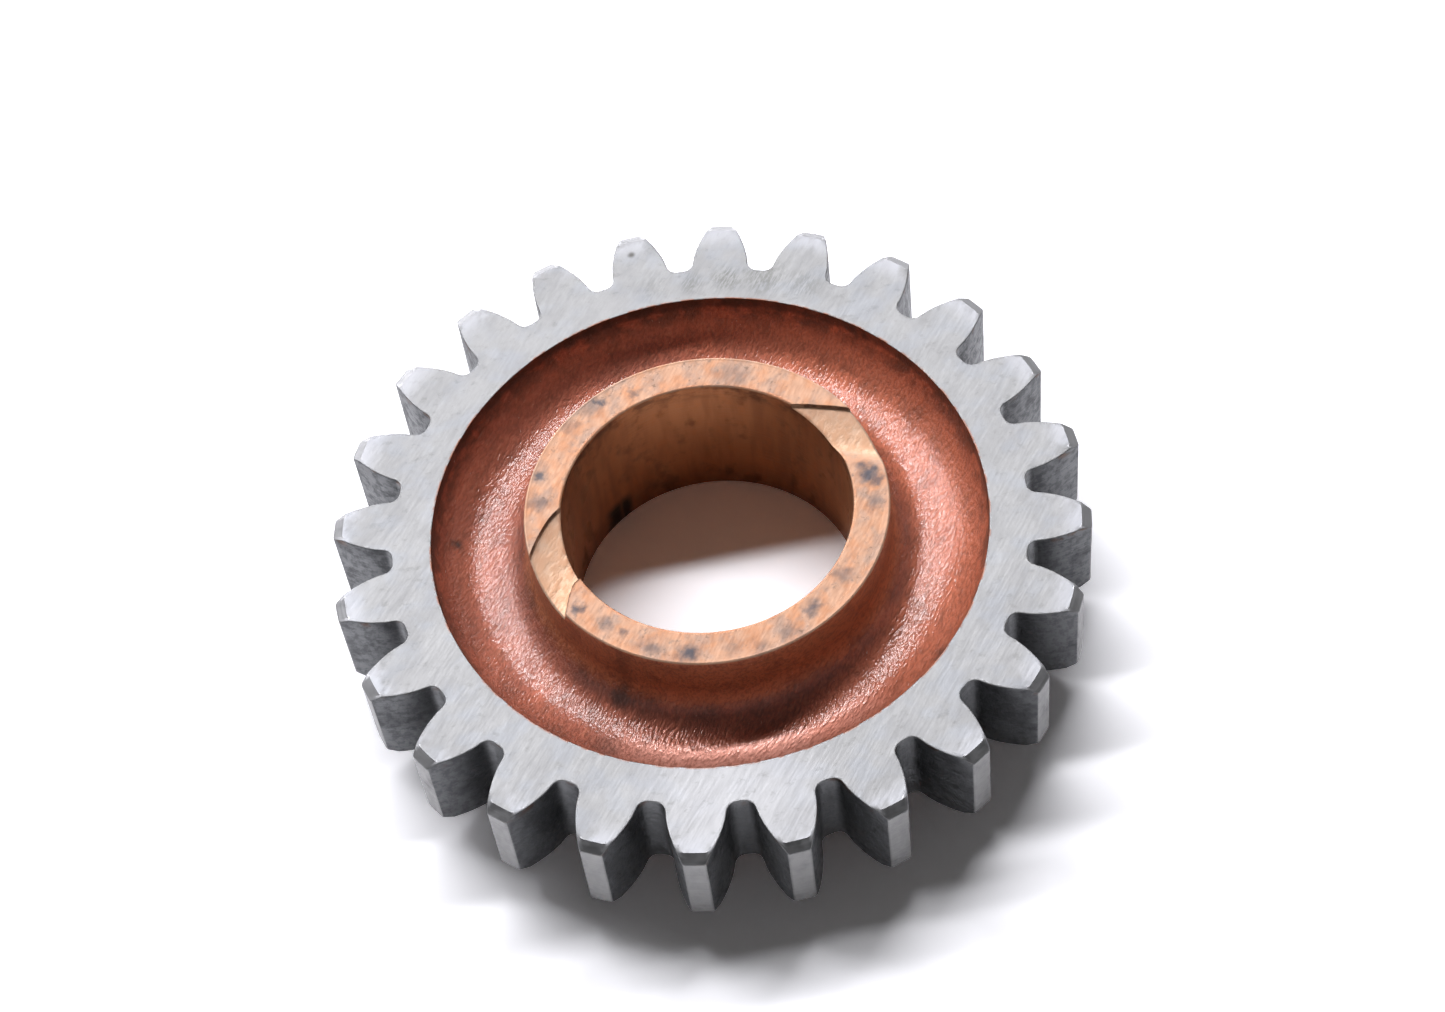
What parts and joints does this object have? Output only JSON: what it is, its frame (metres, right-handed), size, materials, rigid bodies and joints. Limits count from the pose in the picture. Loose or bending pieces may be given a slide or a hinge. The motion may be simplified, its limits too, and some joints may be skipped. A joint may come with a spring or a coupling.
{
  "type": "pinion gear",
  "caption": "Spur pinion gear with involute teeth, a dished web and a plain-bored hub that stands proud on both sides, its front face notched twice.",
  "frame": {"origin": "centre of the hub's back face, which the gear stands on", "axes": "+Z along the bore towards the notched front face of the hub; one tooth is centred on +X"},
  "size_m": [0.079, 0.079, 0.018],
  "materials": {
    "gear_steel": "rim faces ground with fine oblique scratches, teeth hobbed and darkened; web, hub and bore keep a thin reddish copper flash, paler and stained on the hub's front face"
  },
  "bodies": {
    "root": {"pinion_gear": "gear_steel"}
  },
  "joints": []
}
